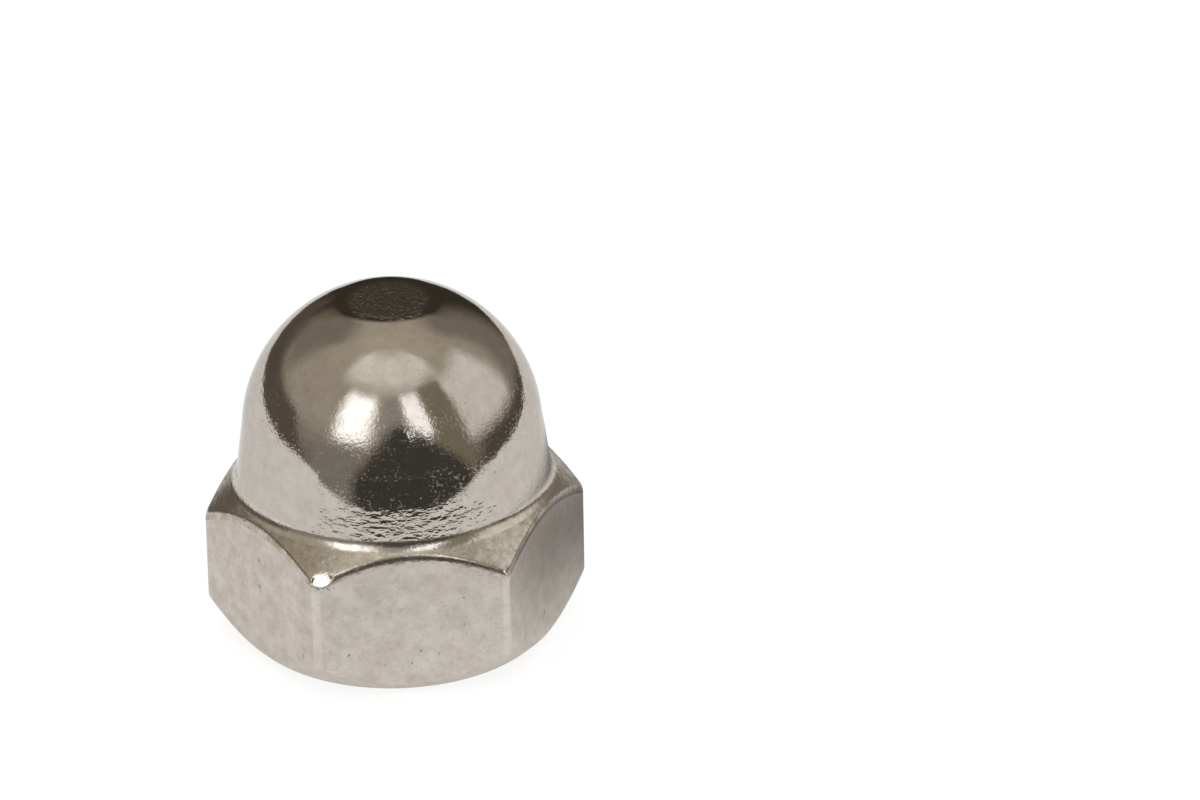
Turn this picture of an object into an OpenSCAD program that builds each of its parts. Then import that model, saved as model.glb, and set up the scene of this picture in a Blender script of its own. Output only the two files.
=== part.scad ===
// Domed cap nut for an M10 thread, formed from one piece of stainless steel.
// Z is the thread axis. The nut stands on its bearing face, which is the plane Z = 0,
// and two of its hexagon corners lie on the X axis.
//
// The nut is a turned blank cut by a hexagonal bar. The blank's section carries the
// dome, both chamfers, the bearing face and the blind bore, and where the chamfers'
// cones meet the flats they leave the curved edges of a chamfered hexagon.

/* [Hexagon] */
// Width across the flats, for a 17 mm spanner
across_flats = 16.8; // [16.7:0.05:17]
// Radius of the six upright corners
corner_radius = 0.5; // [0.3:0.1:0.8]
// Height of the six corner tips above the bearing plane
corner_top = 6.6; // [6.2:0.1:7]
// Slope of the upper chamfer, measured from level
upper_chamfer = 45; // [40:1:48]
// Slope of the lower chamfer, measured from level
lower_chamfer = 45; // [38:1:50]

/* [Bearing face] */
// Diameter of the bearing face, out to the lower chamfer
bearing_d = 15.6; // [15.4:0.1:15.8]
// Radius that rolls the bearing face into the lower chamfer
bearing_edge_r = 0.4; // [0.2:0.1:0.5]
// Width of the rim that surrounds the coined ring
rim_width = 0.45; // [0.35:0.05:0.6]
// Depth of the coined ring below the rim
coin_depth = 0.1; // [0.05:0.01:0.15]

/* [Dome] */
// Overall height, from the bearing plane to the flat on the apex
height = 18; // [17.6:0.1:18.4]
// Diameter of the ball that forms the top of the dome
ball_d = 15.2; // [15:0.1:15.3]
// Diameter of the small flat on the apex
apex_flat_d = 4.8; // [4:0.1:5.4]
// Slope of the dome's lower wall, measured from upright
dome_taper = 7.3; // [6:0.1:8]
// Angle of the faint edge where the ball meets the wall
shoulder_angle = 2; // [1:0.5:4]
// Radius of the fillet where the wall meets the upper chamfer
root_fillet_r = 1; // [0.6:0.1:1.2]

/* [Threaded hole] */
// Diameter of the bore, which is the thread's core
bore_d = 8.5; // [8.4:0.05:8.65]
// Depth of the bore's full diameter, from the bearing plane
bore_depth = 13.5; // [12.5:0.1:14]
// Included angle of the drill point that ends the bore
drill_point = 118; // [110:1:130]
// Diameter of the countersink at the coined ring
countersink_d = 11.5; // [11:0.1:11.8]
// Included angle of the countersink
countersink_angle = 90; // [80:1:100]
// Radius of the smooth lip between the coined ring and the countersink
lip_radius = 0.8; // [0.5:0.1:1]

/* [Hidden] */
$fn = 144;

// Steps in the arc of a rounded edge
ARC_STEPS = 6;

CORNERS = 6;
CORNER_STEP = 360 / CORNERS;
sharp_corner_r = across_flats / 2 / cos(CORNER_STEP / 2);
corner_r = sharp_corner_r - corner_radius / cos(CORNER_STEP / 2) + corner_radius;

bearing_r = bearing_d / 2;
coin_r = bearing_r - rim_width;

bore_r = bore_d / 2;
bore_tip = bore_depth + bore_r / tan(drill_point / 2);
countersink_r = countersink_d / 2;
countersink_slope = 90 - countersink_angle / 2;
countersink_top = coin_depth + (countersink_r - bore_r) * tan(countersink_slope);

// The wall's line passes its nearest to the ball's centre at the shoulder. It passes
// just inside the ball there, so that the two cross at the shoulder angle.
ball_r = ball_d / 2;
ball_z = height - sqrt(pow(ball_r, 2) - pow(apex_flat_d / 2, 2));
wall_reach = ball_r * cos(shoulder_angle);
shoulder_r = wall_reach * cos(dome_taper);
shoulder_z = ball_z + wall_reach * sin(dome_taper);
wall_lean = tan(dome_taper);
wall_top_r = shoulder_r - (height - shoulder_z) * wall_lean;

// The root is where the wall's line meets the upper chamfer's line
chamfer_fall = tan(upper_chamfer);
root_r = (shoulder_r + (shoulder_z - corner_top - corner_r * chamfer_fall) * wall_lean)
    / (1 - chamfer_fall * wall_lean);
root_z = corner_top + (corner_r - root_r) * chamfer_fall;

// The blank reaches out to where the bar's corners would be if they were sharp
blank_r = sharp_corner_r;
blank_bottom = (blank_r - bearing_r) * tan(lower_chamfer);
blank_top = corner_top - (blank_r - corner_r) * chamfer_fall;

// Point at a distance and an angle from the origin
function polar(distance, angle) = distance * [cos(angle), sin(angle)];

// Points of the arc that rounds a corner of an outline. They run from the edge that
// leaves the corner at from_angle to the edge that leaves it at to_angle.
function corner_arc(corner, from_angle, to_angle, radius) =
    let (
        opening = to_angle - from_angle,
        sweep = 180 - abs(opening),
        centre = corner + polar(radius / sin(abs(opening) / 2), from_angle + opening / 2)
    )
    [
        for (i = [0 : ARC_STEPS])
            centre + polar(radius, from_angle - sign(opening) * (90 + sweep * i / ARC_STEPS))
    ];

// Half section of the blank, from the tip of the bore round to the apex
module blank_section() {
    polygon([
        [0, bore_tip],
        [bore_r, bore_depth],
        [bore_r, countersink_top],
        each corner_arc([countersink_r, coin_depth], 180 - countersink_slope, 0, lip_radius),
        [coin_r - coin_depth, coin_depth],
        [coin_r, 0],
        each corner_arc([bearing_r, 0], 180, lower_chamfer, bearing_edge_r),
        [blank_r, blank_bottom],
        [blank_r, blank_top],
        each corner_arc([root_r, root_z], -upper_chamfer, 90 + dome_taper, root_fillet_r),
        [wall_top_r, height],
        [0, height]
    ]);
}

// What the ball leaves to be cut away above the shoulder
module ball_waste() {
    difference() {
        translate([0, shoulder_z])
            square([blank_r, height]);
        translate([0, ball_z])
            circle(r = ball_r);
    }
}

module turned_blank() {
    rotate_extrude()
        difference() {
            blank_section();
            ball_waste();
        }
}

module hexagonal_bar() {
    linear_extrude(height)
        polygon([
            for (i = [0 : CORNERS - 1])
                let (corner_angle = i * CORNER_STEP)
                each corner_arc(
                    polar(sharp_corner_r, corner_angle),
                    corner_angle + 240, corner_angle + 120, corner_radius
                )
        ]);
}

module cap_nut() {
    color([0.74, 0.71, 0.67])
        intersection() {
            turned_blank();
            hexagonal_bar();
        }
}

cap_nut();
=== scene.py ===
"""Looks of the domed M10 cap nut: its dressed body, its finishes and the studio round it.

Shapes are worked out in millimetres in the part's own frame and scaled to metres at the
end. Z is the thread axis, the nut stands on Z = 0 and two hexagon corners lie on X. Where
nothing else is said, lengths are in millimetres and angles in degrees.
"""

import logging
import math
from dataclasses import dataclass, field
from enum import Enum
from typing import Any, Iterable

import bmesh
import bpy
from bmesh.types import BMEdge, BMesh, BMFace, BMVert
from bpy.types import Material, NodeOutputs, NodeSocket, NodeTree, Object, World
from mathutils import Matrix, Vector


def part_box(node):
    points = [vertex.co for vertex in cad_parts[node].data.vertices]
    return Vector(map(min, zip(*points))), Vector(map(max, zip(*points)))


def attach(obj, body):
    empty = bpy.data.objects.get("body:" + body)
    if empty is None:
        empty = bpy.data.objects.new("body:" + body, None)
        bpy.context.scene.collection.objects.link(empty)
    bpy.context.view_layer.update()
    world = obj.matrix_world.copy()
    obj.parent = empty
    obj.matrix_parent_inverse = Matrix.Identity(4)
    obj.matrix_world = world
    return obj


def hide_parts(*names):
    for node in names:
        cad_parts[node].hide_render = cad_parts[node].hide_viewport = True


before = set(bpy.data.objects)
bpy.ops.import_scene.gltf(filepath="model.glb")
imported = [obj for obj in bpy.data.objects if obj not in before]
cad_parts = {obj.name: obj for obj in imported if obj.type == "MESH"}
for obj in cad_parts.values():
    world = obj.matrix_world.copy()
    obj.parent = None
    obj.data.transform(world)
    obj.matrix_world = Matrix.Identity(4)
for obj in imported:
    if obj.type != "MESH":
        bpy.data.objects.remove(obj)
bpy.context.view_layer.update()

log = logging.getLogger("cap_nut")

MM = 0.001
CORNERS = 6
FULL_TURN = 2 * math.pi
# Angle at the axis between a corner and the middle of a flat
HALF_FLAT = math.pi / CORNERS
# Points nearer than this are one point
TOUCHING = 2e-3
# Points cut at the same place are nearer than this
SAME_CUT = 1e-4
# Points that should fall together exactly are nearer than this
EXACT = 1e-5
# Edges that turn by more than this stay crisp
CRISP = math.radians(35)

# Setting of a Map Range node that eases in and out
SMOOTH = {"interpolation_type": "SMOOTHSTEP"}
# Sockets of a Mix node, for numbers and for colours
NUMBER_A, NUMBER_B, NUMBER_OUT = 2, 3, 0
COLOUR_A, COLOUR_B, COLOUR_OUT = 6, 7, 2


def linear(hex_colour: str) -> tuple[float, float, float, float]:
    """Turn an sRGB colour into the linear one that a shader takes.

    Args:
        hex_colour: Six hex digits, such as "BEB6AE".

    Returns:
        Linear red, green, blue and an alpha of 1.
    """
    channels = [int(hex_colour[i : i + 2], 16) / 255 for i in (0, 2, 4)]
    red, green, blue = (
        c / 12.92 if c <= 0.04045 else ((c + 0.055) / 1.055) ** 2.4 for c in channels
    )
    return red, green, blue, 1.0


def clamped(share: float) -> float:
    """Keep a share between 0 and 1."""
    return min(max(share, 0.0), 1.0)


def add_node(
    tree: NodeTree, kind: str, inputs: dict[str | int, Any] | None = None, **settings: Any
) -> NodeOutputs:
    """Add a node with its settings, input values and links.

    Args:
        tree: The node tree it goes in.
        kind: The node's Blender type, without the ShaderNode that it starts with.
        inputs: For each input, a value or the output that feeds it.
        **settings: The node's own properties.

    Returns:
        The new node's outputs.
    """
    node = tree.nodes.new("ShaderNode" + kind)
    for name, value in settings.items():
        setattr(node, name, value)
    for key, value in (inputs or {}).items():
        if isinstance(value, NodeSocket):
            tree.links.new(value, node.inputs[key])
        else:
            node.inputs[key].default_value = value
    return node.outputs


def empty_tree(owner: Material | World) -> NodeTree:
    """Give a material or a world a node tree with nothing in it.

    Args:
        owner: The material or the world.

    Returns:
        Its node tree.
    """
    owner.use_nodes = True
    owner.node_tree.nodes.clear()
    return owner.node_tree


def overlap(tree: NodeTree, masks: Iterable[NodeSocket]) -> NodeSocket:
    """Combine masks, so that only what all of them cover is covered.

    Args:
        tree: The node tree they are in.
        masks: The masks, one or more.

    Returns:
        Their product.
    """
    cover, *others = masks
    for mask in others:
        cover = add_node(tree, "Math", {0: cover, 1: mask}, operation="MULTIPLY")[0]
    return cover


def faded(
    tree: NodeTree, pattern: NodeSocket, place: NodeSocket, fades: tuple[tuple[float, float], ...]
) -> NodeSocket:
    """Let a pattern fade out with height.

    Args:
        tree: The material's nodes.
        pattern: The pattern, which is 0 where there is nothing of it.
        place: The place on the piece.
        fades: For each fade, the heights where it's gone and where it's whole.

    Returns:
        The faded pattern.
    """
    height = add_node(tree, "SeparateXYZ", {"Vector": place})["Z"]
    ranges = [{"Value": height, "From Min": gone, "From Max": whole} for gone, whole in fades]
    return overlap(tree, [pattern, *(add_node(tree, "MapRange", r, **SMOOTH)[0] for r in ranges)])


def sweep(
    bm: BMesh, chain: list[BMVert], steps: int, turn: float = FULL_TURN, rise: float = 0.0
) -> None:
    """Join points into a chain and sweep it round the Z axis.

    Args:
        bm: The mesh.
        chain: The points in order.
        steps: Steps in the sweep.
        turn: Angle of the sweep in radians.
        rise: How far each step rises.
    """
    edges = [bm.edges.new(pair) for pair in zip(chain, chain[1:])]
    bmesh.ops.spin(
        bm,
        geom=chain + edges,
        cent=(0, 0, 0),
        axis=(0, 0, 1),
        dvec=(0, 0, rise),
        angle=turn,
        steps=steps,
        use_merge=turn == FULL_TURN and rise == 0,
    )


def cut_level(bm: BMesh, level: float, keep_above: bool) -> list[BMEdge]:
    """Cut a mesh level and drop one side of it.

    Args:
        bm: The mesh.
        level: Height of the cut.
        keep_above: Whether what is above the cut stays, instead of what is below it.

    Returns:
        The edges along the cut.
    """
    cut = bmesh.ops.bisect_plane(
        bm,
        geom=bm.verts[:] + bm.edges[:] + bm.faces[:],
        dist=EXACT,
        plane_co=(0, 0, level),
        plane_no=(0, 0, 1),
        clear_inner=keep_above,
        clear_outer=not keep_above,
    )
    return [g for g in cut["geom_cut"] if isinstance(g, BMEdge)]


def make_object(name: str, bm: BMesh, materials: Iterable[Material]) -> Object:
    """Make an object of a mesh and put it in the scene.

    Args:
        name: Name of the object and its mesh.
        bm: The mesh in millimetres, which is used up.
        materials: The object's materials in order.

    Returns:
        The object, in metres and at the origin.
    """
    bmesh.ops.scale(bm, vec=(MM, MM, MM), verts=bm.verts[:])
    mesh = bpy.data.meshes.new(name)
    bm.to_mesh(mesh)
    bm.free()
    for material in materials:
        mesh.materials.append(material)
    made = bpy.data.objects.new(name, mesh)
    bpy.context.scene.collection.objects.link(made)
    return made


# ---- Finishes ----

# Steel seen almost edge-on reflects less than a perfect metal would
EDGE_TINT = (0.78, 0.77, 0.76, 1.0)
# Polishing dirt that stays in the pits
DIRT = "4A4238"
# Clouds of duller steel: how fine and how strong the smaller clouds in them are, and the
# levels of the noise between which the steel turns from bright to dull
CLOUDS = {"Detail": 7.0, "Roughness": 0.72}
CLOUD_EDGE = {"From Min": 0.3, "From Max": 0.7}


class Zone(Enum):
    """The nut's surfaces, each with its own finish."""

    THREAD = 0
    COINED_RING = 1
    CHAMFER = 2
    FLAT = 3
    CORNER = 4
    BEATEN = 5
    ROOT = 6
    WALL = 7
    DOME = 8


@dataclass(frozen=True)
class Grain:
    """A fine unevenness of a steel surface.

    Attributes:
        size: Size of one grain.
        depth: Height of the grains.
        stretch: How much closer the grains are along X, Y and Z.
        detail: Octaves of finer grain inside it.
        fades: Pairs of heights, where it's gone and where it's whole.
    """

    size: float
    depth: float
    stretch: tuple[float, float, float] = (1.0, 1.0, 1.0)
    detail: float = 2.0
    fades: tuple[tuple[float, float], ...] = ()

    def relief(self, tree: NodeTree, place: NodeSocket) -> NodeSocket:
        """Add the pattern of the grains.

        Args:
            tree: The material's nodes.
            place: The place on the piece.

        Returns:
            The height of the surface, where 1 is the grains' own height.
        """
        spread = add_node(tree, "Mapping", {"Vector": place, "Scale": self.stretch})[0]
        noise = {"Vector": spread, "Scale": 1 / self.size, "Detail": self.detail}
        grains = add_node(tree, "TexNoise", noise)["Fac"]
        if not self.fades:
            return grains
        # Up and down about nought, so that fading out doesn't slope the surface
        about_nought = add_node(tree, "Math", {0: grains, 1: 0.5}, operation="SUBTRACT")[0]
        return faded(tree, about_nought, place, self.fades)


@dataclass(frozen=True)
class Pits:
    """Small pits with dirt in them, scattered at random.

    Attributes:
        spacing: Distance from one place for a pit to the next.
        radius: Radius of the largest pits.
        depth: Depth of a pit.
        share: Share of the places that hold one.
        dirt: How dark the dirt in it is, from 0 to 1.
        dull: Roughness in it, or 0 for that of the steel round it.
        ragged: How far its outline strays, in radii.
        smallest: Size of the smallest pits, where the largest are 1.
    """

    spacing: float
    radius: float
    depth: float
    share: float
    dirt: float
    dull: float = 0.0
    ragged: float = 1.5
    smallest: float = 0.3

    def relief(self, tree: NodeTree, place: NodeSocket) -> NodeSocket:
        """Add the pattern of the pits.

        Args:
            tree: The material's nodes.
            place: The place on the piece.

        Returns:
            How deep the surface lies, from 0 to 1.
        """
        noise = {"Vector": place, "Scale": 1 / self.radius, "Detail": 1.0}
        wander = add_node(tree, "TexNoise", noise)["Color"]
        stray = {0: wander, 1: (self.ragged * self.radius,) * 3, 2: place}
        bent = add_node(tree, "VectorMath", stray, operation="MULTIPLY_ADD")["Vector"]
        cells = add_node(tree, "TexVoronoi", {"Vector": bent, "Scale": 1 / self.spacing})
        lot, rank, _ = add_node(tree, "SeparateXYZ", {"Vector": cells["Color"]})
        chosen = add_node(tree, "Math", {0: lot, 1: self.share}, operation="LESS_THAN")[0]
        # Distances in the pattern count in spacings
        sizes = {
            "Value": rank,
            "To Min": self.smallest * self.radius / self.spacing,
            "To Max": self.radius / self.spacing,
        }
        size = add_node(tree, "MapRange", sizes)[0]
        hollow = {"Value": cells["Distance"], "From Min": size, "From Max": 0.0}
        return overlap(tree, (chosen, add_node(tree, "MapRange", hollow, **SMOOTH)[0]))


@dataclass(frozen=True)
class Haze:
    """Fine dull specks, gathered in clouds, that the polishing has left.

    Attributes:
        size: Size of a speck.
        cloud: Size of a cloud.
        roughness: Roughness of the specks.
        fades: Pairs of heights, where they're gone and where they're whole.
        speck_edge: Levels of the noise between which a speck begins.
        cloud_edge: Levels of the noise between which a cloud begins.
    """

    size: float
    cloud: float
    roughness: float
    fades: tuple[tuple[float, float], ...] = ()
    speck_edge: tuple[float, float] = (0.54, 0.66)
    cloud_edge: tuple[float, float] = (0.3, 0.6)

    def mask(self, tree: NodeTree, place: NodeSocket) -> NodeSocket:
        """Add the mask of the specks.

        Args:
            tree: The material's nodes.
            place: The place on the piece.

        Returns:
            1 inside the specks and 0 between them.
        """
        masks = []
        for size, (low, high) in ((self.size, self.speck_edge), (self.cloud, self.cloud_edge)):
            noise = {"Vector": place, "Scale": 1 / size, "Detail": 2.0}
            level = add_node(tree, "TexNoise", noise)["Fac"]
            edge = {"Value": level, "From Min": low, "From Max": high}
            masks.append(add_node(tree, "MapRange", edge, **SMOOTH)[0])
        return faded(tree, overlap(tree, masks), place, self.fades)


@dataclass(frozen=True)
class StruckDisc:
    """The flat on the apex, where the forming punch has struck the steel rough.

    Attributes:
        radius: Radius of the disc.
        soft: Width of its edge.
        above: Height above which it lies.
        roughness: Roughness inside it.
        grain: Grain inside it.
        waves: Waves in a millimetre of its uneven edge.
    """

    radius: float
    soft: float
    above: float
    roughness: float
    grain: Grain
    waves: float = 2.2

    def mask(self, tree: NodeTree, place: NodeSocket) -> NodeSocket:
        """Add the disc's mask.

        Args:
            tree: The material's nodes.
            place: The place on the piece.

        Returns:
            1 inside the disc and 0 outside it.
        """
        flat = {0: place, 1: (1.0, 1.0, 0.0)}
        level = add_node(tree, "VectorMath", flat, operation="MULTIPLY")["Vector"]
        reach = add_node(tree, "VectorMath", {0: level}, operation="LENGTH")["Value"]
        noise = {"Vector": place, "Scale": self.waves, "Detail": 3.0}
        wander = add_node(tree, "TexNoise", noise)["Fac"]
        stray = {0: wander, 1: self.soft, 2: reach}
        uneven = add_node(tree, "Math", stray, operation="MULTIPLY_ADD")[0]
        edge = {"Value": uneven, "From Min": self.radius + self.soft, "From Max": self.radius}
        inside = add_node(tree, "MapRange", edge, **SMOOTH)[0]
        height = add_node(tree, "SeparateXYZ", {"Vector": place})["Z"]
        high = add_node(tree, "Math", {0: height, 1: self.above}, operation="GREATER_THAN")[0]
        return overlap(tree, (inside, high))


@dataclass(frozen=True)
class SteelFinish:
    """Austenitic stainless steel, cold formed, then finished in one of several ways.

    It is a pale, faintly warm grey metal. Clouds of duller steel keep it from looking even.

    Attributes:
        name: Name of the material.
        colour: Colour that the metal reflects, as sRGB hex.
        shade: Colour of its duller clouds.
        mottle: Size of the clouds.
        roughness: Roughness of the brightest steel.
        worn: Roughness of the dullest steel.
        grains: Unevenness of the surface, from fine to coarse.
        pits: Pits in it.
        disc: A disc that is struck rough, on the dome.
        haze: Dull specks in the polish.
    """

    name: str
    colour: str
    shade: str
    mottle: float
    roughness: float
    worn: float
    grains: tuple[Grain, ...] = ()
    pits: tuple[Pits, ...] = ()
    disc: StruckDisc | None = None
    haze: Haze | None = None

    def material(self) -> Material:
        """Build the material, with its patterns in object space.

        Returns:
            The material.
        """
        made = bpy.data.materials.new(self.name)
        tree = empty_tree(made)
        metres = add_node(tree, "TexCoord")["Object"]
        place = add_node(tree, "Mapping", {"Vector": metres, "Scale": (1 / MM,) * 3})[0]
        noise = {"Vector": place, "Scale": 1 / self.mottle, **CLOUDS}
        level = add_node(tree, "TexNoise", noise)["Fac"]
        dull = add_node(tree, "MapRange", {"Value": level, **CLOUD_EDGE}, **SMOOTH)[0]

        # Colours and roughnesses laid over the bright steel's, each with its mask, and the
        # patterns of relief with their heights
        tints = [(dull, self.shade)]
        dulled = []
        reliefs = [(grain.relief(tree, place), grain.depth) for grain in self.grains]
        if self.haze:
            dulled.append((self.haze.mask(tree, place), self.haze.roughness))
        for pits in self.pits:
            hollow = pits.relief(tree, place)
            dirty = add_node(tree, "Math", {0: hollow, 1: pits.dirt}, operation="MULTIPLY")[0]
            tints.append((dirty, DIRT))
            reliefs.append((hollow, -pits.depth))
            if pits.dull:
                dulled.append((hollow, pits.dull))
        if self.disc:
            struck = self.disc.mask(tree, place)
            dulled.append((struck, self.disc.roughness))
            grain = self.disc.grain
            reliefs.append((overlap(tree, (grain.relief(tree, place), struck)), grain.depth))

        colour: tuple[float, ...] | NodeSocket = linear(self.colour)
        for mask, tint in tints:
            laid = {"Factor": mask, COLOUR_A: colour, COLOUR_B: linear(tint)}
            colour = add_node(tree, "Mix", laid, data_type="RGBA")[COLOUR_OUT]
        polish = {"Value": dull, "To Min": self.roughness, "To Max": self.worn}
        rough = add_node(tree, "MapRange", polish)[0]
        for mask, roughness in dulled:
            laid = {"Factor": mask, NUMBER_A: rough, NUMBER_B: roughness}
            rough = add_node(tree, "Mix", laid)[NUMBER_OUT]
        normal: dict[str, NodeSocket] = {}
        for height, depth in reliefs:
            bump = {"Height": height, "Strength": 1.0, "Distance": abs(depth) * MM, **normal}
            normal = {"Normal": add_node(tree, "Bump", bump, invert=depth < 0)[0]}
        steel = {
            "Base Color": colour,
            "Metallic": 1.0,
            "Roughness": rough,
            "Specular Tint": EDGE_TINT,
            **normal,
        }
        shader = add_node(tree, "BsdfPrincipled", steel)[0]
        add_node(tree, "OutputMaterial", {"Surface": shader})
        return made


# Satin that tumbling leaves on the flats and, rubbed brighter, on the corners between them
SATIN_GRAINS = (Grain(0.16, 0.006), Grain(0.9, 0.006))
SATIN_PITS = (Pits(0.45, 0.16, 0.01, 0.12, 0.65), Pits(0.18, 0.1, 0.004, 0.5, 0.22))


@dataclass(frozen=True)
class Finishes:
    """The finish of each zone of the nut.

    The real grain is a few hundredths of a millimetre across, too fine to show. Apart from
    the tap's lines, the finest that is drawn is 0.14 to 0.3 mm, as coarse as it needs to be.
    """

    # Tapped thread, cut and then tumbled: bright, with the tap's fine lines round the bore
    thread: SteelFinish = SteelFinish(
        "machined_thread", "BEB6AC", "A79F95", 0.8, 0.16, 0.24,
        (Grain(0.9, 0.004, (1.0, 1.0, 14.0)),),
    )
    # Ring pressed by a coining punch: dull grey and pebbled, with bright spots between
    coined_ring: SteelFinish = SteelFinish(
        "coined_steel", "BDB5AB", "9A9187", 0.5, 0.32, 0.5,
        (Grain(0.22, 0.02), Grain(0.7, 0.03)),
    )
    # Chamfers, turned and then tumbled: a dull polish, pebbled, with dirt in its pits
    chamfer: SteelFinish = SteelFinish(
        "tumbled_chamfer", "C3BCB2", "9C9283", 0.6, 0.17, 0.32,
        (Grain(0.2, 0.012), Grain(0.7, 0.014)),
        (Pits(0.3, 0.11, 0.01, 0.45, 0.45),),
    )
    # Flats of the cold drawn bar, tumbled: an even pale satin with a few dark pits
    flat: SteelFinish = SteelFinish(
        "satin_flats", "CFC8C1", "C0B8AE", 0.8, 0.46, 0.56,
        SATIN_GRAINS, SATIN_PITS,
    )
    # Upright corners, which the tumbling rubs most: the same satin with a brighter sheen
    corner: SteelFinish = SteelFinish(
        "rubbed_corners", "CCC5BE", "C0B8AE", 0.8, 0.28, 0.36,
        SATIN_GRAINS, SATIN_PITS,
    )
    # Corner tips that a knock has beaten smooth: small facets that catch the light
    beaten: SteelFinish = SteelFinish(
        "beaten_tips", "D8D1C9", "CCC4BB", 0.3, 0.1, 0.16, (Grain(0.3, 0.004),)
    )
    # Root of the dome, rounded by the die's edge and out of the polisher's reach: a bright
    # line, uneven and a little dirty
    root: SteelFinish = SteelFinish(
        "rounded_root", "CBC4BA", "B5ADA1", 0.5, 0.13, 0.24,
        (Grain(0.2, 0.008), Grain(0.7, 0.014)),
        (Pits(0.35, 0.1, 0.006, 0.4, 0.4),),
    )
    # Lower wall of the dome, ironed by the die: a sharp mirror, broken up by ripples
    # towards the root
    wall: SteelFinish = SteelFinish(
        "ironed_wall", "BFB8B0", "B2AAA0", 0.8, 0.02, 0.035,
        (
            Grain(0.14, 0.0004, (1.0, 1.0, 1.3)),
            Grain(0.55, 0.021, (1.0, 1.0, 1.9), 2.0, ((10.5, 9.2),)),
        ),
        (Pits(0.35, 0.1, 0.001, 0.4, 0.4, 0.3),),
        haze=Haze(0.15, 1.2, 0.15),
    )
    # Ball of the dome, formed in a die and polished: a soft mirror with the orange peel of
    # forming, hazy lower down and struck rough and dark at the apex
    dome: SteelFinish = SteelFinish(
        "polished_dome", "BFB8B0", "B2AAA0", 0.8, 0.06, 0.11,
        (
            Grain(0.25, 0.0015, (1.0, 1.0, 1.5)),
            Grain(0.6, 0.006, (1.0, 1.0, 1.3), 2.0, ((11.7, 12.8),)),
            Grain(1.8, 0.012, (1.0, 1.0, 1.0), 2.0, ((11.7, 12.8),)),
            Grain(0.14, 0.0065, (1.0, 1.0, 1.0), 1.0, ((16.0, 13.6), (11.7, 12.8))),
        ),
        (Pits(0.25, 0.09, 0.001, 0.4, 0.3, 0.3),),
        StruckDisc(2.05, 0.6, 17.0, 0.2, Grain(0.16, 0.066, (1.2, 0.65, 1.0))),
        Haze(0.15, 1.2, 0.28, ((16.0, 14.2),)),
    )

    def of_zone(self, zone: Zone) -> SteelFinish:
        """Return the finish of a zone."""
        return getattr(self, zone.name.lower())


# ---- Section of the nut ----


@dataclass(frozen=True)
class Station:
    """A point of the nut's section.

    Attributes:
        r: Distance from the axis.
        z: Height.
        zone: Finish of the stretch that follows it.
    """

    r: float
    z: float
    zone: Zone


@dataclass(frozen=True)
class Bend:
    """A corner of the section before it is rounded.

    Attributes:
        r: Distance from the axis.
        z: Height.
        radius: Radius that rounds it, or 0 for a plain point.
        steps: Steps in the rounding.
        rows: Rows on the straight stretch that follows.
        zone: Finish of the rounding.
        after: Finish of the straight stretch, if it's another.
    """

    r: float
    z: float
    radius: float
    steps: int
    rows: int
    zone: Zone
    after: Zone | None = None

    def arc(self, before: Vector, beyond: Vector) -> list[Vector]:
        """Round the corner.

        Args:
            before: The corner before this one.
            beyond: The corner after it.

        Returns:
            Points of the arc, or the corner itself if it's a plain point.
        """
        corner = Vector((self.r, self.z))
        if self.radius == 0:
            return [corner]
        back, ahead = (before - corner).normalized(), (beyond - corner).normalized()
        half = back.angle(ahead) / 2
        centre = corner + (back + ahead).normalized() * self.radius / math.sin(half)
        first, last = (
            corner + way * self.radius / math.tan(half) - centre for way in (back, ahead)
        )
        turn = first.angle_signed(last)
        return [
            centre + Matrix.Rotation(-turn * k / self.steps, 2) @ first
            for k in range(self.steps + 1)
        ]


def rounded(bends: list[Bend]) -> list[Station]:
    """Round the corners of a section and divide its straight stretches.

    Args:
        bends: The corners in order. The first and the last are plain points.

    Returns:
        The stations. Their number doesn't depend on where the corners are.
    """
    corners = [Vector((bend.r, bend.z)) for bend in bends]
    stations: list[Station] = []
    for i, bend in enumerate(bends):
        points = bend.arc(corners[i - 1], corners[(i + 1) % len(corners)])
        if stations:
            last = bends[i - 1]
            zone = last.after or last.zone
            start, end = Vector((stations[-1].r, stations[-1].z)), points[0]
            stations[-1] = Station(start.x, start.y, zone)
            # Rows crowd towards both ends, so that a rounding doesn't shade the flat beside it
            for k in range(1, last.rows):
                at = start.lerp(end, (1 - math.cos(math.pi * k / last.rows)) / 2)
                stations.append(Station(at.x, at.y, zone))
            # Two roundings that touch share a station
            if (start - end).length < TOUCHING:
                points = points[1:]
        stations += [Station(point.x, point.y, bend.zone) for point in points]
    return stations


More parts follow.
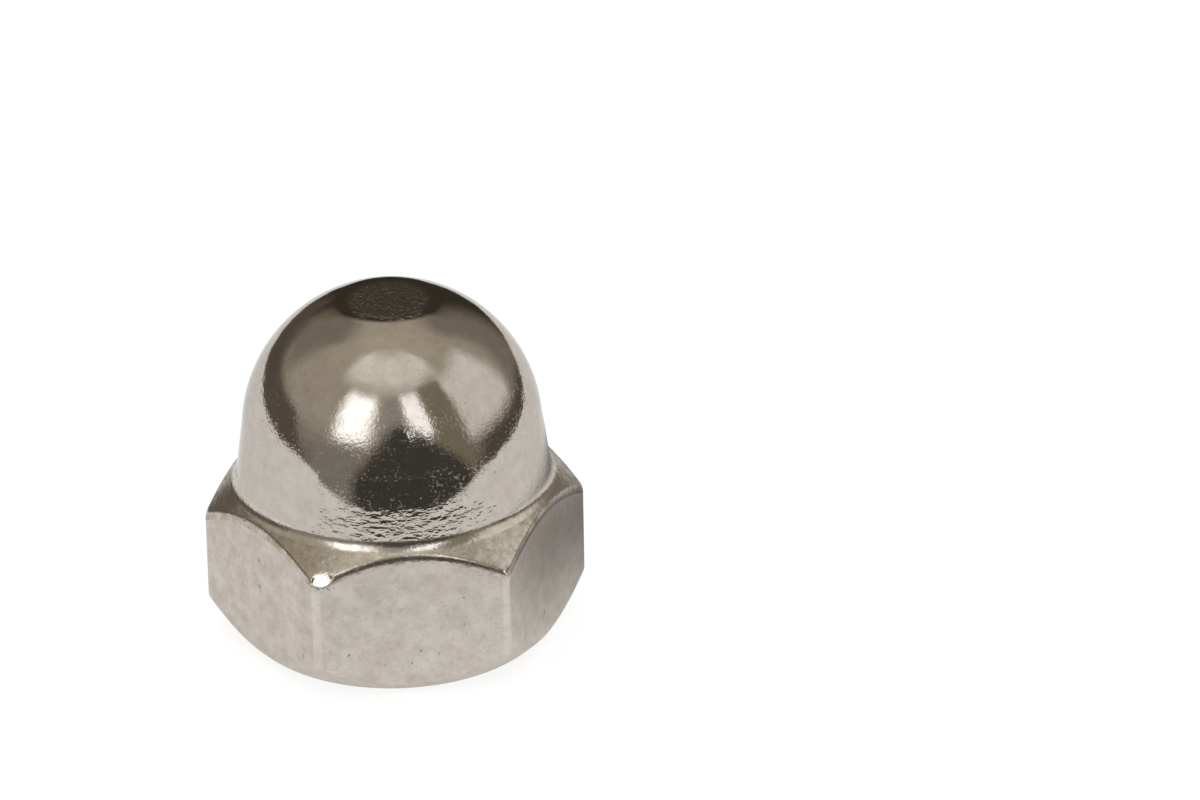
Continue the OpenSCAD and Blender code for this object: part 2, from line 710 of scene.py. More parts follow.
@dataclass(frozen=True)
class NutSizes:
    """Sizes of the nut, as in the part's source.

    Both chamfers slope by 45 degrees. What follows the lip radius is in this file only.

    Attributes:
        across_flats: Width across the flats.
        height: Height from the bearing face to the flat on the apex.
        corner_radius: Radius of the upright corners.
        corner_top: Height of the corner tips.
        bearing_r: Radius of the bearing face.
        bearing_edge_r: Radius that rolls the bearing face into the lower chamfer.
        coin_r: Radius of the coined ring.
        coin_depth: Depth of the coined ring.
        ball_r: Radius of the ball that forms the top of the dome.
        apex_flat_r: Radius of the flat on the apex.
        dome_taper: Slope of the dome's wall from upright.
        root_fillet_r: Radius of the fillet at the dome's root.
        bore_r: Radius of the bore.
        bore_depth: Depth of the bore's full diameter.
        drill_point: Included angle of the drill point.
        countersink_r: Radius of the countersink.
        lip_radius: Radius of the lip between the coined ring and the countersink.
        lip_start: How far in and up the countersink's cone the section starts.
        coin_edge_r: Radius of the coined ring's outer edges.
        lower_edge_r: Radius between the lower chamfer and the flats.
        easy_roll: Turn and radius of the easy roll at the top of a flat.
        tight_roll: Turn and radius of the tight roll between that and the upper chamfer.
        apex_edge_r: Radius between the ball and the flat on the apex.
        ball_steps: Steps in the ball's arc.
        apex_steps: Steps in the arc between the ball and the flat.
        apex_rings: Rings on the flat.
    """

    across_flats: float
    height: float
    corner_radius: float = 0.5
    corner_top: float = 6.6
    bearing_r: float = 7.8
    bearing_edge_r: float = 0.4
    coin_r: float = 7.35
    coin_depth: float = 0.1
    ball_r: float = 7.6
    apex_flat_r: float = 2.4
    dome_taper: float = 7.3
    root_fillet_r: float = 1.0
    bore_r: float = 4.25
    bore_depth: float = 13.5
    drill_point: float = 118.0
    countersink_r: float = 5.75
    lip_radius: float = 0.8
    lip_start: float = 0.4
    coin_edge_r: float = 0.05
    lower_edge_r: float = 0.3
    easy_roll: tuple[float, float] = (21.0, 1.06)
    tight_roll: tuple[float, float] = (24.0, 0.4)
    apex_edge_r: float = 2.0
    ball_steps: int = 40
    apex_steps: int = 6
    apex_rings: int = 8

    @property
    def sharp_corner_r(self) -> float:
        """Distance from the axis to where the flats would meet."""
        return self.across_flats / 2 / math.cos(HALF_FLAT)

    @property
    def rounding_r(self) -> float:
        """Distance from the axis to the centre of a corner's rounding."""
        return self.sharp_corner_r - self.corner_radius / math.cos(HALF_FLAT)

    @property
    def corner_r(self) -> float:
        """Distance from the axis to the rounded corners."""
        return self.sharp_corner_r - self.corner_radius * (1 / math.cos(HALF_FLAT) - 1)

    @property
    def ball_z(self) -> float:
        """Height of the ball's centre."""
        return self.height - math.sqrt(self.ball_r**2 - self.apex_flat_r**2)

    @property
    def corner_end(self) -> float:
        """Angle from a corner, seen from the axis, at which its rounding ends."""
        across, along = math.sin(HALF_FLAT), math.cos(HALF_FLAT)
        return math.atan2(self.corner_radius * across, self.rounding_r + self.corner_radius * along)

    def off_corner(self, angle: float) -> float:
        """Return the angle in radians between a direction and the nearest corner."""
        return abs((angle + HALF_FLAT) % (2 * HALF_FLAT) - HALF_FLAT)

    def on_corner(self, place: Vector) -> bool:
        """Tell whether a place on the bar's surface is on a rounded corner."""
        outside = place.xy.length > self.across_flats / 2
        return outside and self.off_corner(math.atan2(place.y, place.x)) < self.corner_end

    def limit(self, angle: float) -> float:
        """Distance from the axis to the hexagonal bar's surface.

        Args:
            angle: Direction from the axis in radians.

        Returns:
            The distance.
        """
        off = self.off_corner(angle)
        if off >= self.corner_end:
            return self.across_flats / 2 / math.cos(HALF_FLAT - off)
        aside = self.rounding_r * math.sin(off)
        return self.rounding_r * math.cos(off) + math.sqrt(self.corner_radius**2 - aside**2)

    def rolled_edge(self, limit: float) -> list[Bend]:
        """Edge between a flat and the upper chamfer: an easy roll and then a tight one.

        Args:
            limit: Distance from the axis to the bar's surface.

        Returns:
            The two bends, which touch.
        """
        easy, easy_r = math.radians(self.easy_roll[0]), self.easy_roll[1]
        tight, tight_r = math.radians(self.tight_roll[0]), self.tight_roll[1]
        between = easy_r * math.tan(easy / 2) + tight_r * math.tan(tight / 2)
        below = between * math.sin(tight) / math.sin(easy + tight)
        beyond = between * math.sin(easy) / math.sin(easy + tight)
        edge_z = self.corner_top + self.corner_r - limit
        # The upper chamfer slopes by 45 degrees
        step = beyond * math.sqrt(0.5)
        return [
            Bend(limit, edge_z - below, easy_r, 6, 1, Zone.CHAMFER),
            Bend(limit - step, edge_z + step, tight_r, 4, 14, Zone.CHAMFER),
        ]

    def section(self, limit: float) -> list[Station]:
        """Section from the lip of the countersink, out round the hexagon and up to the apex.

        Args:
            limit: Distance from the axis to the bar's surface.

        Returns:
            The stations, the same number for every limit.
        """
        taper = math.radians(self.dome_taper)
        shoulder = Vector((math.cos(taper), math.sin(taper))) * self.ball_r
        shoulder.y += self.ball_z
        lean = math.tan(taper)
        root_r = (shoulder.x + (shoulder.y - self.corner_top - self.corner_r) * lean) / (1 - lean)
        root_z = self.corner_top + self.corner_r - root_r
        start, depth, coin_edge = self.lip_start, self.coin_depth, self.coin_edge_r
        stations = rounded([
            Bend(self.countersink_r - start, depth + start, 0, 0, 2, Zone.COINED_RING),
            Bend(self.countersink_r, depth, self.lip_radius, 8, 6, Zone.COINED_RING),
            Bend(self.coin_r - depth, depth, coin_edge, 2, 1, Zone.COINED_RING),
            Bend(self.coin_r, 0.0, coin_edge, 2, 3, Zone.FLAT),
            Bend(self.bearing_r, 0.0, self.bearing_edge_r, 6, 7, Zone.FLAT),
            Bend(limit, limit - self.bearing_r, self.lower_edge_r, 4, 24, Zone.FLAT),
            *self.rolled_edge(limit),
            Bend(root_r, root_z, self.root_fillet_r, 12, 9, Zone.ROOT, Zone.WALL),
            Bend(shoulder.x, shoulder.y, 0, 0, 1, Zone.DOME),
        ])
        # The ball, the soft edge of the flat on its apex, and the flat
        inner_r, edge_z = self.ball_r - self.apex_edge_r, self.height - self.apex_edge_r
        top = math.asin((edge_z - self.ball_z) / inner_r)
        edge_r = inner_r * math.cos(top)
        for r, z, radius, start, end, steps in (
            (0.0, self.ball_z, self.ball_r, taper, top, self.ball_steps),
            (edge_r, edge_z, self.apex_edge_r, top, math.pi / 2, self.apex_steps),
        ):
            for k in range(1, steps + 1):
                at = start + (end - start) * k / steps
                place = r + radius * math.cos(at), z + radius * math.sin(at)
                stations.append(Station(*place, Zone.DOME))
        for k in range(1, self.apex_rings + 1):
            stations.append(Station(edge_r * (1 - k / self.apex_rings), self.height, Zone.DOME))
        return stations


# ---- The nut ----


@dataclass
class InternalThread:
    """Right-hand metric thread, with its countersink and the drilled end of the bore.

    Attributes:
        sizes: Sizes of the nut.
        pitch: Rise of the thread in one turn.
        flank: Slope of the flanks.
        major_r: Radius at the bottom of the groove.
        full_depth: Height up to which the thread is full.
        runout: Height at which the groove has run out.
        plain: Length of plain bore that is cut with the thread.
        columns: Columns in one turn.
        ease: Size of the roundings at the groove's mouth and floor.
        mouth_edge: Points that round the mouth's edge, in eases outwards from the bore and
            away from the groove.
        floor_edge: Points that round the floor's edge, in eases outwards from the major
            radius and away from the groove's middle.
        flank_rows: Shares of a flank's length at which it has a row.
    """

    sizes: NutSizes
    pitch: float = 1.5
    flank: float = 30.0
    major_r: float = 5.0
    full_depth: float = 10.4
    runout: float = 12.4
    plain: float = 0.1
    columns: int = 288
    ease: float = 0.04
    mouth_edge: tuple[tuple[float, float], ...] = ((0.0, 1.0), (0.35, -0.3))
    floor_edge: tuple[tuple[float, float], ...] = ((-1.0, 0.8), (0.0, -0.5))
    flank_rows: tuple[float, ...] = (0.33, 0.67)

    def groove(self) -> list[tuple[float, float]]:
        """One pitch of the thread's profile.

        Returns:
            Pairs of distance from the axis and height, without the next pitch's first.
        """
        bore = self.sizes.bore_r
        # Half widths of the groove: its floor is an eighth of the pitch
        floor = self.pitch / 16
        mouth = floor + (self.major_r - bore) * math.tan(math.radians(self.flank))
        edges = [
            [(r + out * self.ease, -(half + away * self.ease)) for out, away in points]
            for r, half, points in (
                (bore, mouth, self.mouth_edge),
                (self.major_r, floor, self.floor_edge),
            )
        ]
        (r0, z0), (r1, z1) = edges[0][-1], edges[1][0]
        rows = [(r0 * (1 - t) + r1 * t, z0 * (1 - t) + z1 * t) for t in self.flank_rows]
        low = edges[0] + rows + edges[1]
        return low + [(r, -z) for r, z in reversed(low)]

    def build(self, bm: BMesh) -> None:
        """Add the bore's inner surface to a mesh, up to the countersink's edge.

        Args:
            bm: The mesh.
        """
        profile = self.groove()
        turns = range(-1, math.ceil(self.sizes.bore_depth / self.pitch) + 1)
        points = [(r, z + turn * self.pitch) for turn in turns for r, z in profile]
        chain = [bm.verts.new((r, 0.0, z)) for r, z in points]
        sweep(bm, chain, self.columns, rise=self.pitch / self.columns)
        bmesh.ops.remove_doubles(bm, verts=bm.verts[:], dist=TOUCHING)
        self.fade(bm)
        self.cut_countersink(bm)
        self.close_bore(bm)

    def fade(self, bm: BMesh) -> None:
        """Let the groove run out at its deep end.

        Args:
            bm: The thread's mesh.
        """
        bore = self.sizes.bore_r
        for vert in bm.verts:
            share = clamped((self.runout - vert.co.z) / (self.runout - self.full_depth))
            r = vert.co.xy.length
            wanted = bore + (r - bore) * share
            vert.co.xy *= wanted / r

    def cut_countersink(self, bm: BMesh) -> None:
        """Cut the thread's start off along the countersink's cone.

        The mesh is sheared so that the cone lies flat, cut level and sheared back.

        Args:
            bm: The thread's mesh.
        """
        for vert in bm.verts:
            vert.co.z += vert.co.xy.length
        cut_level(bm, self.sizes.countersink_r + self.sizes.coin_depth, keep_above=True)
        for vert in bm.verts:
            vert.co.z -= vert.co.xy.length

    def close_bore(self, bm: BMesh) -> None:
        """Cut the deep end level and close it with the plain bore and the drill's point.

        Args:
            bm: The thread's mesh.
        """
        rim = cut_level(bm, self.runout + self.plain, keep_above=False)
        slope = math.tan(math.radians(self.sizes.drill_point / 2))
        tip = self.sizes.bore_depth + self.sizes.bore_r / slope
        for height, scale in ((self.sizes.bore_depth, 1.0), (tip, 0.0)):
            grown = bmesh.ops.extrude_edge_only(bm, edges=rim)["geom"]
            rim = [g for g in grown if isinstance(g, BMEdge)]
            for vert in (g for g in grown if isinstance(g, BMVert)):
                vert.co = (vert.co.x * scale, vert.co.y * scale, height)
        bmesh.ops.remove_doubles(bm, verts=bm.verts[:], dist=SAME_CUT)


@dataclass(frozen=True)
class Dent:
    """A small smooth facet that a knock has beaten on a corner tip.

    Attributes:
        corner: Direction of the corner from the axis.
        azimuth: Direction that the facet faces.
        elevation: How far it faces up.
        middle: How far right and up its middle is from the tip.
        half: Half its width and half its height.
        depth: How deep it lies below the sharp tip.
        crown: Radius of its bulge.
        tilt: How far its right end is turned up.
        end: Where it has blended into the steel round it, in half sizes from its middle.
        blend: Width of the blend, in half sizes.
        reach: How far from the tip the steel may move, in half sizes.
    """

    corner: float
    azimuth: float
    elevation: float
    middle: tuple[float, float]
    half: tuple[float, float]
    depth: float
    crown: float
    tilt: float = 0.0
    end: float = 1.25
    blend: float = 0.3
    reach: float = 3.0

    def turn(self) -> Matrix:
        """Rotation from the nut's axes to the facet's: out of it, along it and up it."""
        return (
            Matrix.Rotation(-math.radians(self.tilt), 3, "X")
            @ Matrix.Rotation(math.radians(self.elevation), 3, "Y")
            @ Matrix.Rotation(-math.radians(self.azimuth), 3, "Z")
        )

    def away(self, at: Vector) -> float:
        """Distance of a place from the facet's middle, where 1 is the facet's edge.

        Args:
            at: The place from the tip, along the facet's axes.

        Returns:
            The distance.
        """
        return math.hypot(
            (at.y - self.middle[0]) / self.half[0], (at.z - self.middle[1]) / self.half[1]
        )

    def press(self, bm: BMesh, tip: Vector) -> None:
        """Press the steel to the facet and give it its finish.

        Args:
            bm: The mesh.
            tip: The sharp tip before the knock, on the corner at angle 0.
        """
        turn = self.turn()
        sharp = Matrix.Rotation(math.radians(self.corner), 3, "Z") @ tip
        reach = self.reach * max(self.half)
        near = [vert for vert in bm.verts if (vert.co - sharp).length < reach]
        for vert in near:
            at = turn @ (vert.co - sharp)
            share = clamped((self.end - self.away(at)) / self.blend)
            aside = Vector((at.y - self.middle[0], at.z - self.middle[1]))
            wanted = -self.depth - aside.length_squared / (2 * self.crown)
            # Eased in and out across the blend
            at.x += (wanted - at.x) * share * share * (3 - 2 * share)
            vert.co = sharp + turn.transposed() @ at
        for face in {face for vert in near for face in vert.link_faces}:
            if self.away(turn @ (face.calc_center_median() - sharp)) < 1:
                face.material_index = Zone.BEATEN.value


@dataclass
class CapNut:
    """The whole nut, which is one piece of steel.

    Attributes:
        sizes: Sizes of the nut.
        finishes: Finish of each zone.
        columns: Columns round the outside.
        crowding: How much closer the columns are at the corners, from 0 to under 1.
        even_r: Radius inside which they are even.
        dents: Blunted corner tips.
    """

    sizes: NutSizes
    finishes: Finishes = field(default_factory=Finishes)
    columns: int = 288
    crowding: float = 0.75
    even_r: float = 6.4
    dents: tuple[Dent, ...] = (
        Dent(240.0, 249.0, 30.0, (0.36, 0.14), (0.48, 0.28), 0.14, 2.6, 22.0),
        Dent(300.0, 285.0, 32.0, (0.0, 0.05), (0.16, 0.12), 0.12, 0.8),
    )

    def turn_blank(self, bm: BMesh) -> None:
        """Turn the outside and press each of its columns to the hexagonal bar.

        Args:
            bm: The mesh.
        """
        row = bm.verts.layers.int.new("row")
        stations = self.sizes.section(self.sizes.corner_r)
        chain = [bm.verts.new((station.r, 0.0, station.z)) for station in stations]
        for i, vert in enumerate(chain):
            vert[row] = i
        sweep(bm, chain, self.columns)
        bmesh.ops.remove_doubles(bm, verts=bm.verts[:], dist=EXACT)
        sections: dict[int, list[Station]] = {}
        for vert in bm.verts:
            column = round(math.atan2(vert.co.y, vert.co.x) / FULL_TURN * self.columns)
            even = FULL_TURN * column / self.columns
            crowded = self.crowding / CORNERS * math.sin(CORNERS * even)
            if column not in sections:
                sections[column] = self.sizes.section(self.sizes.limit(even - crowded))
            station = sections[column][vert[row]]
            angle = even - crowded * clamped(station.r - self.even_r)
            vert.co = (station.r * math.cos(angle), station.r * math.sin(angle), station.z)
        for face in bm.faces:
            zone = stations[min(vert[row] for vert in face.verts)].zone
            if zone is Zone.FLAT and self.sizes.on_corner(face.calc_center_median()):
                zone = Zone.CORNER
            face.material_index = zone.value
        bm.verts.layers.int.remove(row)

    def add_thread(self, bm: BMesh) -> None:
        """Add the threaded bore and join it to the lip of the countersink.

        Args:
            bm: The nut's mesh.
        """
        thread = bmesh.new()
        InternalThread(self.sizes).build(thread)
        for face in thread.faces:
            face.material_index = Zone.THREAD.value
        inside = bpy.data.meshes.new("inside")
        thread.to_mesh(inside)
        thread.free()
        bm.from_mesh(inside)
        bpy.data.meshes.remove(inside)
        # The countersink's cone, between its lip and the curve where it cuts the thread
        rims = [edge for edge in bm.edges if edge.is_boundary]
        cone = bmesh.ops.triangle_fill(bm, edges=rims, use_beauty=True, normal=(0, 0, 1))
        for face in (g for g in cone["geom"] if isinstance(g, BMFace)):
            face.material_index = Zone.THREAD.value

    def build(self) -> Object:
        """Build the nut's mesh, dress it and put it in the frame.

        Returns:
            The finished piece.
        """
        bm = bmesh.new()
        self.turn_blank(bm)
        tip = Vector((self.sizes.corner_r, 0.0, self.sizes.corner_top))
        for dent in self.dents:
            dent.press(bm, tip)
        self.add_thread(bm)
        bmesh.ops.recalc_face_normals(bm, faces=bm.faces[:])
        for face in bm.faces:
            face.smooth = True
        open_count = sum(not edge.is_manifold for edge in bm.edges)
        finishes = (self.finishes.of_zone(zone).material() for zone in Zone)
        piece = make_object("nut_body", bm, finishes)
        piece.data.set_sharp_from_angle(angle=CRISP)
        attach(piece, "root")
        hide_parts("cap_nut")
        faces = len(piece.data.polygons)
        log.info("%s: %d faces, %d edges not closed", piece.name, faces, open_count)
        return piece


# ---- Studio ----

# Height of straight up above the horizon, in degrees
ZENITH = 90.0


@dataclass(frozen=True)
class StudioView:
    """The camera, placed round the foot of the nut.

    Attributes:
        azimuth: Direction it looks from, 0 being along +Y.
        pitch: How far it looks down.
        roll: How far it leans.
        distance: Distance to the nut's foot along the line of sight.
        aside: How far right of the foot it aims.
        above: How far above the foot it aims.
        lens: Focal length.
        sensor: Width of the sensor.
        clip: Nearest and farthest distance that it sees, in metres.
    """

    azimuth: float = 6.55
    pitch: float = 28.08
    roll: float = -0.94
    distance: float = 398.4
    aside: float = 10.32
    above: float = 10.84
    lens: float = 233.9
    sensor: float = 36.0
    clip: tuple[float, float] = (0.01, 10.0)

    def build(self) -> Object:
        """Make the camera and make it the scene's.

        Returns:
            The camera.
        """
        data = bpy.data.cameras.new("camera")
        data.lens = self.lens
        data.sensor_width = self.sensor
        data.clip_start, data.clip_end = self.clip
        turn = (
            Matrix.Rotation(math.radians(-self.azimuth), 3, "Z")
            @ Matrix.Rotation(math.radians(90 - self.pitch), 3, "X")
            @ Matrix.Rotation(math.radians(self.roll), 3, "Z")
        )
        place = turn @ Vector((self.aside, self.above, self.distance)) * MM
        camera = bpy.data.objects.new("camera", data)
        camera.matrix_world = Matrix.Translation(place) @ turn.to_4x4()
        bpy.context.scene.collection.objects.link(camera)
        bpy.context.scene.camera = camera
        log.info("camera at %s", [round(c, 4) for c in place])
        return camera


@dataclass(frozen=True)
class Patch:
    """A soft-edged part of the room that the metal reflects.

    Directions are in degrees: azimuths to the right of the camera, heights above the horizon.

    Attributes:
        name: What it is.
        azimuth: Direction of its middle at the bottom.
        low: Height of its bottom.
        high: Height of its top.
        width: Width at the bottom.
        top_width: Width at the top.
        lean: How far right of the bottom's middle the top's middle is.
        soft: Width of its edge.
        colour: Its colour, as sRGB hex.
        strength: Brightness, where 1 is white.
    """

    name: str
    azimuth: float
    low: float
    high: float
    width: float
    top_width: float
    lean: float
    soft: float
    colour: str
    strength: float = 1.0

    def paint(
        self, tree: NodeTree, under: NodeSocket, azimuth: NodeSocket, elevation: NodeSocket
    ) -> NodeSocket:
        """Paint the patch over what is behind it.

        Args:
            tree: The world's nodes.
            under: Colour of what is behind it.
            azimuth: Azimuth of the direction looked in.
            elevation: Its height above the horizon.

        Returns:
            The colour with the patch.
        """
        rise = {"Value": elevation, "From Min": self.low, "From Max": self.high}
        middle, half = (
            add_node(tree, "MapRange", {**rise, "To Min": bottom, "To Max": top})[0]
            for bottom, top in (
                (self.azimuth, self.azimuth + self.lean),
                (self.width / 2, self.top_width / 2),
            )
        )
        aside = azimuth
        for operation, inputs in (
            ("SUBTRACT", {1: middle}),
            ("WRAP", {1: 180.0, 2: -180.0}),
            ("ABSOLUTE", {}),
        ):
            aside = add_node(tree, "Math", {0: aside, **inputs}, operation=operation)[0]
        covers = []
        for more, less in ((half, aside), (elevation, self.low), (self.high, elevation)):
            inside = add_node(tree, "Math", {0: more, 1: less}, operation="SUBTRACT")[0]
            edge = {"Value": inside, "From Min": -self.soft / 2, "From Max": self.soft / 2}
            covers.append(add_node(tree, "MapRange", edge, **SMOOTH)[0])
        colour = [channel * self.strength for channel in linear(self.colour)]
        laid = {"Factor": overlap(tree, covers), COLOUR_A: under, COLOUR_B: colour}
        return add_node(tree, "Mix", laid, data_type="RGBA")[COLOUR_OUT]


@dataclass(frozen=True)
class Surroundings:
    """What stands round the sheet: white to the eye, and a dim room in the metal.

    Attributes:
        facing: Azimuth of the camera.
        walls: Colours of the walls by height above the horizon, with the lowest
            and the highest first.
        patches: What stands before the walls, the last one in front.
    """

    facing: float
    walls: tuple[tuple[float, str], ...] = (
        (-50, "E6E1DC"),
        (90, "D2CABA"),
        (-24, "5A5650"),
        (-2, "8C857B"),
        (18, "BFB8AB"),
        (60, "C6BFAE"),
        (75, "D0C9B8"),
    )
    patches: tuple[Patch, ...] = (
        Patch("front_ceiling", 0, 56, 84, 136, 160, 0, 18, "F8F5EE", 1.15),
        Patch("back_wall", 180, -40, 48, 96, 92, 0, 16, "443F37"),
        Patch("left_table", -112, -40, 15, 120, 80, -10, 7, "6A625A"),
        Patch("left_wall", -133, 16, 60, 37, 37, 0, 18, "968E82"),
        Patch("right_shade", 139, -40, 56, 28, 28, 0, 20, "968E84"),
        Patch("right_wall", 84, 4, 50, 62, 50, 0, 14, "F4F2EE", 1.12),
        Patch("brown_curtain", 47, -40, 53, 36, 26, 0, 9, "928E7A"),
        Patch("right_table", 107, -40, 0, 72, 64, 0, 9, "5E5A54"),
        Patch("left_window", -32.5, 14, 48, 28, 31, 3, 13, "FAFCFF", 2.5),
        Patch("right_window", 27, 17, 50, 17, 21, -7, 7, "FAFCFF", 2.0),
        Patch("camera_top", 2, 8, 50, 24, 17, 0, 9, "AEACA7"),
        Patch("low_dark", -26, -40, 6, 84, 70, 0, 12, "9A968F"),
        Patch("camera_side", 20, -40, 28, 136, 14, -11, 13, "4C4A46"),
        Patch("lamp", 17, 17, 23, 3, 3, -2, 1.5, "FFFFFF", 2.2),
    )

    def room(self, tree: NodeTree) -> NodeSocket:
        """Paint the room.

        Args:
            tree: The world's nodes.

        Returns:
            The room's colour in the direction looked in.
        """
        direction = add_node(tree, "TexCoord")["Generated"]
        x, y, z = add_node(tree, "SeparateXYZ", {"Vector": direction})
        ahead = add_node(tree, "Math", {0: y, 1: -1.0}, operation="MULTIPLY")[0]
        turn = add_node(tree, "Math", {0: x, 1: ahead}, operation="ARCTAN2")[0]
        rise = add_node(tree, "Math", {0: z}, operation="ARCSINE")[0]
        azimuth, elevation = (
            add_node(
                tree, "Math", {0: angle, 1: math.degrees(1), 2: more}, operation="MULTIPLY_ADD"
            )[0]
            for angle, more in ((turn, self.facing), (rise, 0.0))
        )
        span = {"Value": elevation, "From Min": -ZENITH, "From Max": ZENITH}
        height = add_node(tree, "MapRange", span)[0]
        colour = add_node(tree, "ValToRGB", {"Fac": height})["Color"]
        stops = colour.node.color_ramp.elements
        for i, (level, wall) in enumerate(self.walls):
            place = (level + ZENITH) / (2 * ZENITH)
            # The ramp comes with two stops
            stop = stops[i] if i < 2 else stops.new(place)
            stop.position = place
            stop.color = linear(wall)
        for patch in self.patches:
            colour = patch.paint(tree, colour, azimuth, elevation)
            log.info("%s painted", patch.name)
        return colour

    def build(self) -> World:
        """Make the world.

        Returns:
            The world.
        """
        world = bpy.data.worlds.new("studio")
        tree = empty_tree(world)
        plain, dim = (
            add_node(tree, "Background", {"Color": shown, "Strength": 1.0})[0]
            for shown in ((1.0, 1.0, 1.0, 1.0), self.room(tree))
        )
        rays = add_node(tree, "LightPath")
        mirrored = {0: rays["Is Glossy Ray"], 1: rays["Is Transmission Ray"]}
        metal = add_node(tree, "Math", mirrored, operation="MAXIMUM")[0]
        seen = add_node(tree, "MixShader", {0: metal, 1: plain, 2: dim})[0]
        add_node(tree, "OutputWorld", {"Surface": seen})
        bpy.context.scene.world = world
        return world


@dataclass(frozen=True)
class Sheet:
    """The white sheet that the nut stands on, with a round front edge.

    Attributes:
        facing: Azimuth of the camera.
        round_r: Radius of its round front edge.
        aside: How far left of the nut the round's middle is.
        round_ends: Directions in which the round ends, in degrees to the right.
        round_step: Step along the round.
        far_edge: Its other corners, from the right to the left.
        clear_r: Radius of the hole that the nut's foot hides.
        clear_step: Step round the hole.
        sunk: How far it lies below the nut's foot.
        grey: Share of the light on it that it throws back.
        glow: Light that it gives by itself, where 1 is white.
    """

    facing: float
    round_r: float = 46.5
    aside: float = 0.9
    round_ends: tuple[int, int] = (-50, 76)
    round_step: int = 3
    far_edge: tuple[tuple[float, float], ...] = (
        (56.0, -5.0),
        (180.0, 260.0),
        (0.0, 140.0),
        (-190.0, 190.0),
        (-190.0, 90.0),
        (-126.0, 5.0),
        (-80.0, -30.0),
    )
    clear_r: float = 7.2
    clear_step: int = 5
    sunk: float = 0.01
    grey: float = 0.3
    glow: float = 0.78

    def build(self) -> Object:
        """Make the sheet.

        Returns:
            The sheet.
        """
        left, right = self.round_ends
        outline = [
            (self.round_r * math.sin(at) - self.aside, -self.round_r * math.cos(at))
            for at in map(math.radians, range(left, right + 1, self.round_step))
        ]
        hole = [
            (self.clear_r * math.cos(at), self.clear_r * math.sin(at))
            for at in map(math.radians, range(0, 360, self.clear_step))
        ]
        bm = bmesh.new()
        edges = []
        for ring in ([*outline, *self.far_edge], hole):
            loop = [bm.verts.new((x, y, -self.sunk)) for x, y in ring]
            edges += [bm.edges.new(pair) for pair in zip(loop, loop[1:] + loop[:1])]
        bmesh.ops.triangle_fill(bm, edges=edges, use_beauty=True, normal=(0, 0, 1))
        bmesh.ops.recalc_face_normals(bm, faces=bm.faces[:])
        for face in bm.faces:
            if face.normal.z < 0:
                face.normal_flip()
        turn = Matrix.Rotation(math.radians(-self.facing), 3, "Z")
        bmesh.ops.rotate(bm, verts=bm.verts[:], cent=(0, 0, 0), matrix=turn)
        sheet = make_object("sheet", bm, [self.material()])
        log.info("%s laid", sheet.name)
        return sheet

    def material(self) -> Material:
        """Make the material: matt white card, evenly lit from above and clear from below.

        Returns:
            The material.
        """
        made = bpy.data.materials.new("white_sheet")
        tree = empty_tree(made)
        # It shows almost plain white, with only a faint shadow at the nut's foot
        paper = add_node(tree, "BsdfDiffuse", {"Color": (self.grey,) * 3 + (1.0,)})[0]
        glow = add_node(tree, "Emission", {"Color": (1.0,) * 4, "Strength": self.glow})[0]
        top = add_node(tree, "AddShader", {0: paper, 1: glow})[0]
        clear = add_node(tree, "BsdfTransparent")[0]
        under = add_node(tree, "NewGeometry")["Backfacing"]
        both = add_node(tree, "MixShader", {0: under, 1: top, 2: clear})[0]
        add_node(tree, "OutputMaterial", {"Surface": both})
        return made


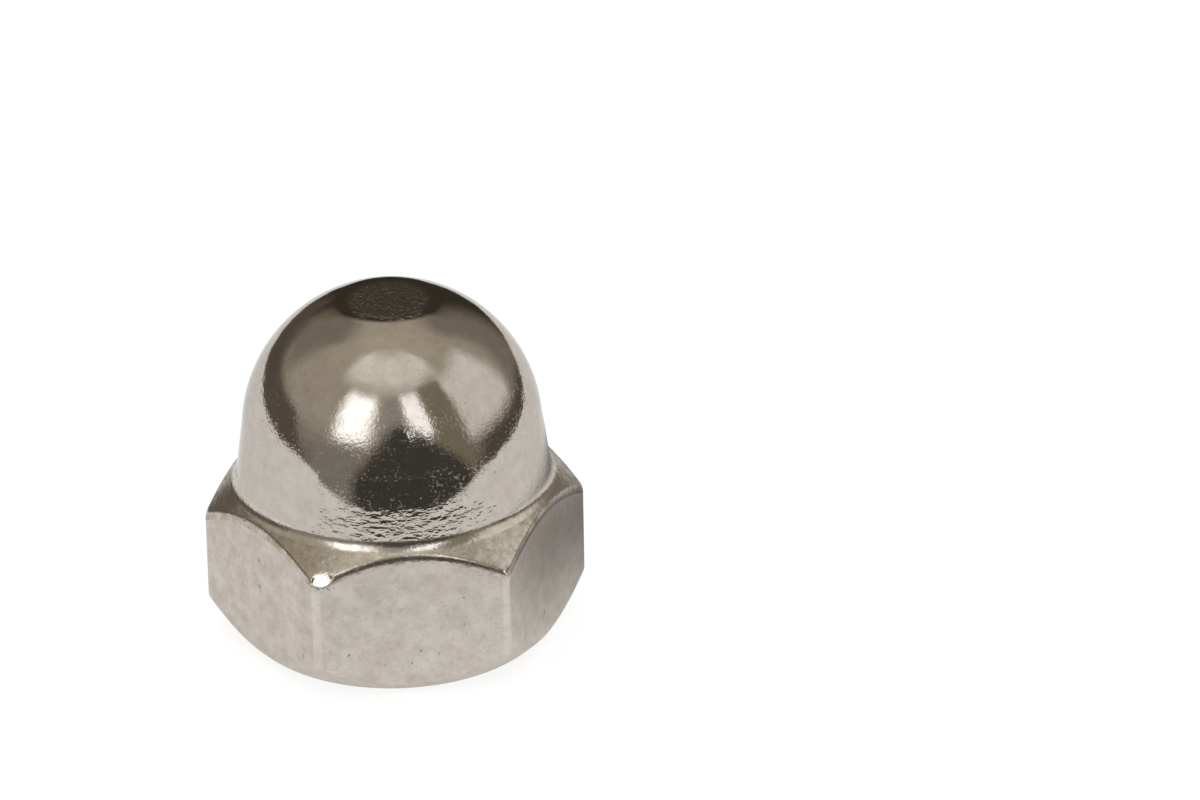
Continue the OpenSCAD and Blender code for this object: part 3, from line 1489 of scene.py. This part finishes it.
@dataclass(frozen=True)
class PaintedShadeFlag:
    """A curved grey screen beside the nut, which only the metal sees: painted shade that darkens
    the right flat and the right of the dome in reflection.

    Attributes:
        facing: Azimuth of the camera.
        middle: Direction of its middle, in degrees to the right of the camera.
        half_turn: How far it reaches either way.
        foot_r: Distance of its foot from the nut's axis.
        top_r: Distance of its top edge from the axis.
        height: Height of its top edge.
        thin: How much it covers at its foot, where 1 is everything.
        side_full: Share of its half turn from which it thins out towards its sides.
        top_full: Share of its height from which it thins out towards its top.
        foot_full: Share of its height from which it thins out towards its foot.
        colour: Colour of the painted shade, as sRGB hex.
        steps: Steps in its curve.
    """

    facing: float
    middle: float = 106.0
    half_turn: float = 62.0
    foot_r: float = 9.4
    top_r: float = 12.0
    height: float = 7.6
    thin: float = 0.2
    side_full: float = 0.5
    top_full: float = 0.7
    foot_full: float = 0.5
    colour: str = "8C8C8A"
    steps: int = 24

    def direction(self, aside: float) -> float:
        """Return the angle from +X, in radians, so many degrees right of its middle."""
        return math.radians(self.middle + aside - self.facing - 90)

    def build(self) -> Object:
        """Make the screen.

        Returns:
            The screen.
        """
        bm = bmesh.new()
        start = self.direction(-self.half_turn)
        chain = [
            bm.verts.new((r * math.cos(start), r * math.sin(start), z))
            for r, z in ((self.foot_r, 0.0), (self.top_r, self.height))
        ]
        sweep(bm, chain, self.steps, math.radians(2 * self.half_turn))
        flag = make_object("painted_shade_flag", bm, [self.material()])
        flag.visible_camera = False
        flag.visible_diffuse = False
        flag.visible_shadow = False
        log.info("%s stood up", flag.name)
        return flag

    def material(self) -> Material:
        """Make the material: painted shade of grey light, thinning out so that it mirrors without
        an edge.

        Returns:
            The material.
        """
        made = bpy.data.materials.new("painted_shade_flag")
        tree = empty_tree(made)
        place = add_node(tree, "TexCoord")["Object"]
        x, y, z = add_node(tree, "SeparateXYZ", {"Vector": place})
        turn = add_node(tree, "Math", {0: y, 1: x}, operation="ARCTAN2")[0]
        off = add_node(tree, "Math", {0: turn, 1: self.direction(0.0)}, operation="SUBTRACT")[0]
        off = add_node(tree, "Math", {0: off}, operation="ABSOLUTE")[0]
        end, height = math.radians(self.half_turn), self.height * MM
        side = {"Value": off, "From Min": end, "From Max": end * self.side_full}
        top = {"Value": z, "From Min": height, "From Max": height * self.top_full}
        foot = {"Value": z, "From Max": height * self.foot_full, "To Min": self.thin}
        shares = [
            add_node(tree, "MapRange", inputs, **settings)[0]
            for inputs, settings in ((side, SMOOTH), (top, SMOOTH), (foot, {}))
        ]
        # Painted shade: grey light that only the metal's reflections show
        grey = add_node(tree, "Emission", {"Color": linear(self.colour), "Strength": 1.0})[0]
        clear = add_node(tree, "BsdfTransparent")[0]
        both = add_node(tree, "MixShader", {0: overlap(tree, shares), 1: clear, 2: grey})[0]
        add_node(tree, "OutputMaterial", {"Surface": both})
        return made


@dataclass(frozen=True)
class Studio:
    """The sheet, the surroundings, a screen of painted shade and the camera."""

    view: StudioView = StudioView()

    def build(self) -> None:
        """Make everything that isn't the nut."""
        self.view.build()
        Sheet(self.view.azimuth).build()
        # A screen of painted shade, which the metal mirrors on its right side
        PaintedShadeFlag(self.view.azimuth).build()
        Surroundings(self.view.azimuth).build()
        bpy.context.scene.view_settings.view_transform = "Standard"


def main() -> None:
    """Build the studio and the nut, sizing the nut from the part's box."""
    logging.basicConfig(level=logging.INFO, format="%(name)s: %(message)s")
    Studio().build()
    low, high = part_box("cap_nut")
    size = (high - low) / MM
    nut = CapNut(NutSizes(across_flats=size.y, height=size.z))
    nut.build()


if __name__ == "__main__":
    main()
